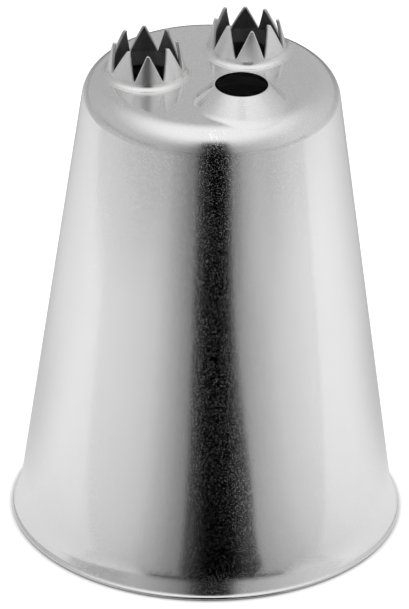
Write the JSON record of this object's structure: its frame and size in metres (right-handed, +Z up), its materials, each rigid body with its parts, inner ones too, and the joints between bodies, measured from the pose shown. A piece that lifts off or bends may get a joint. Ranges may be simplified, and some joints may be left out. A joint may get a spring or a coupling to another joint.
{
  "type": "piping nozzle",
  "caption": "Conical stainless steel piping nozzle with a flared rim and a flat top plate that carries a plain round outlet and toothed star outlets.",
  "frame": {"origin": "centre of the rim, on the table that the nozzle stands on", "axes": "+Z up the cone's axis to the outlets, -Y towards the plain outlet, +X towards the right-hand star outlet seen from the plain one"},
  "size_m": [0.045, 0.045, 0.0602],
  "materials": {
    "drawn_steel": "bright drawn stainless steel, with a fine grain up the cone and light handling scratches",
    "tooth_steel": "satin stainless steel with bright sheared edges",
    "silver_braze": "bright silver braze, slightly uneven"
  },
  "bodies": {
    "root": {"nozzle_shell": "drawn_steel", "star_outlet_left": "tooth_steel", "star_outlet_right": "tooth_steel", "braze_ring_left": "silver_braze", "braze_ring_right": "silver_braze"}
  },
  "joints": []
}
